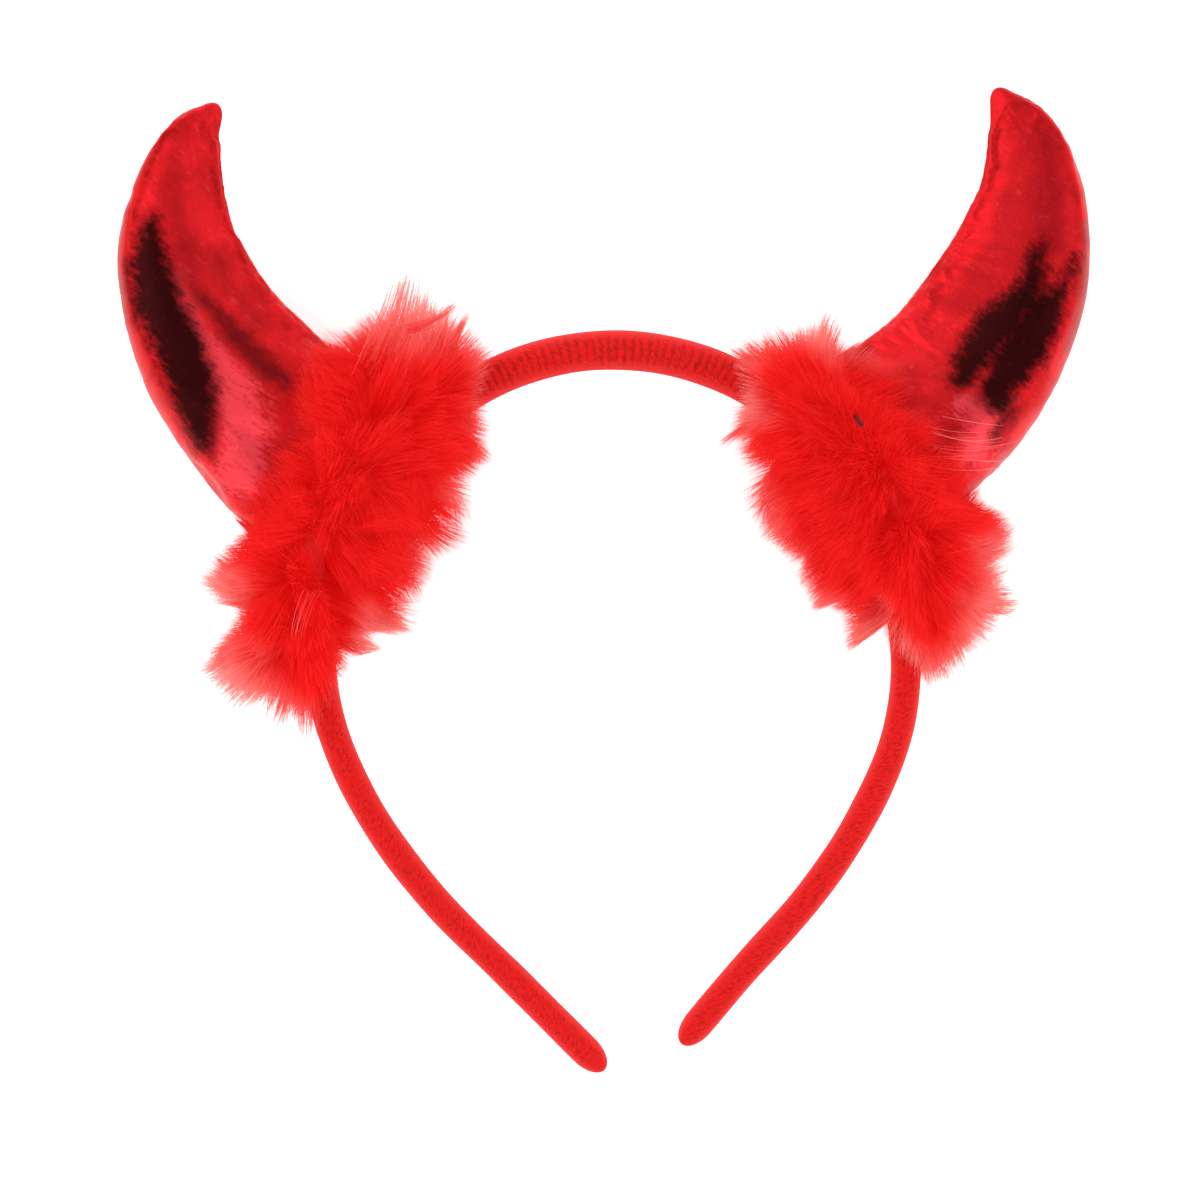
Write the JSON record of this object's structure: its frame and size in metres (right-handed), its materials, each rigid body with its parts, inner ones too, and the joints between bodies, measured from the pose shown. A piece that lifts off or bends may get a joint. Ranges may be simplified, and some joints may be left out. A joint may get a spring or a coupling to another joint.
{
  "type": "devil horns headband",
  "caption": "Curved, stuffed devil horns in shiny cloth on a wrapped headband, with a fluffy feather trim round the foot of each.",
  "frame": {"origin": "under the middle of the whole piece's bounding box, on the surface that it lies on", "axes": "+X from the left horn to the right one as seen from the front, +Y from the band's tips to its crown, +Z out of its front, up from the surface that its back lies on"},
  "size_m": [0.194, 0.197, 0.0526],
  "materials": {
    "band_cord": "ribbed cord, matte",
    "horn_foil": "metallic foil cloth, shiny",
    "marabou": "fluffy feather barbs, soft"
  },
  "bodies": {
    "root": {"headband": "band_cord", "horn_left": "horn_foil", "horn_right": "horn_foil", "feather_trim_left": "marabou", "feather_trim_right": "marabou"}
  },
  "joints": []
}
